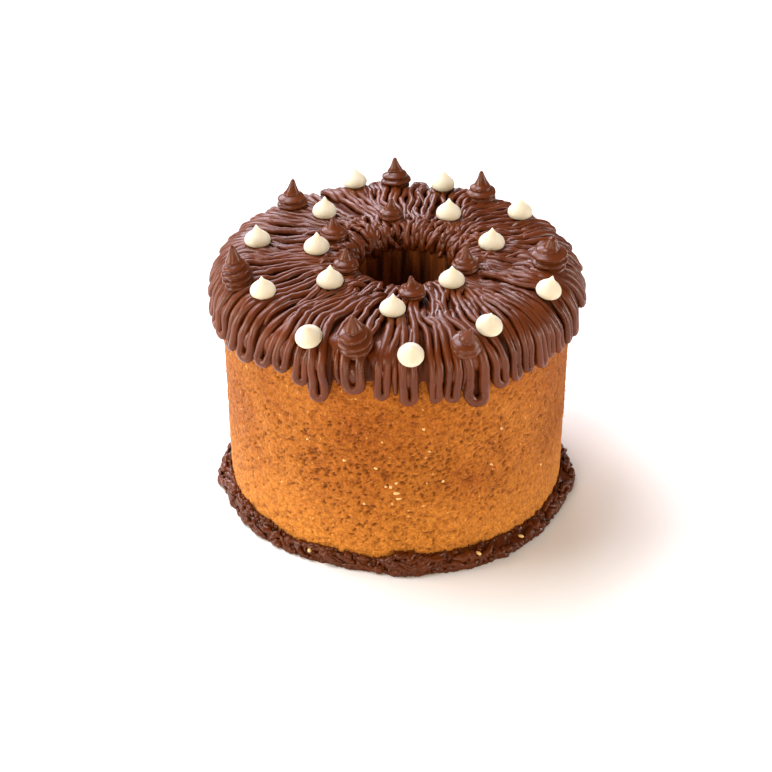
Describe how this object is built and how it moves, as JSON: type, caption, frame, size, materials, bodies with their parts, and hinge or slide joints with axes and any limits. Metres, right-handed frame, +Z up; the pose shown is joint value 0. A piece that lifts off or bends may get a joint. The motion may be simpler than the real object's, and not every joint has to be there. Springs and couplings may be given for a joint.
{
  "type": "mini chocolate cake",
  "caption": "Small round ring cake with a golden crumb side, a cap of piped chocolate strands, chocolate kisses, white chocolate drops and a chocolate bead round the foot.",
  "frame": {"origin": "on the surface the cake stands on, under the middle of its outline", "axes": "+Z up along the cake's axis; the side that the picture shows faces -Y, with +X to its right"},
  "size_m": [0.1316, 0.1338, 0.1047],
  "materials": {
    "sponge": "dry open crumb, golden brown",
    "chocolate_icing": "set chocolate icing, satin",
    "chocolate_bead": "soft chocolate icing, wet gloss",
    "chocolate_kiss": "piped chocolate, satin gloss",
    "white_chocolate": "ivory, satin"
  },
  "bodies": {
    "root": {"sponge": "sponge", "icing": "chocolate_icing", "foot_bead": "chocolate_bead", "outer_kiss_1": "chocolate_kiss", "outer_kiss_2": "chocolate_kiss", "outer_kiss_3": "chocolate_kiss", "outer_kiss_4": "chocolate_kiss", "outer_kiss_5": "chocolate_kiss", "outer_kiss_6": "chocolate_kiss", "outer_kiss_7": "chocolate_kiss", "inner_kiss_1": "chocolate_kiss", "inner_kiss_2": "chocolate_kiss", "inner_kiss_3": "chocolate_kiss", "inner_kiss_4": "chocolate_kiss", "inner_kiss_5": "chocolate_kiss", "white_drop_01": "white_chocolate", "white_drop_02": "white_chocolate", "white_drop_03": "white_chocolate", "white_drop_04": "white_chocolate", "white_drop_05": "white_chocolate", "white_drop_06": "white_chocolate", "white_drop_07": "white_chocolate", "white_drop_08": "white_chocolate", "white_drop_09": "white_chocolate", "white_drop_10": "white_chocolate", "white_drop_11": "white_chocolate", "white_drop_12": "white_chocolate", "white_drop_13": "white_chocolate", "white_drop_14": "white_chocolate", "white_drop_15": "white_chocolate", "white_drop_16": "white_chocolate"}
  },
  "joints": []
}
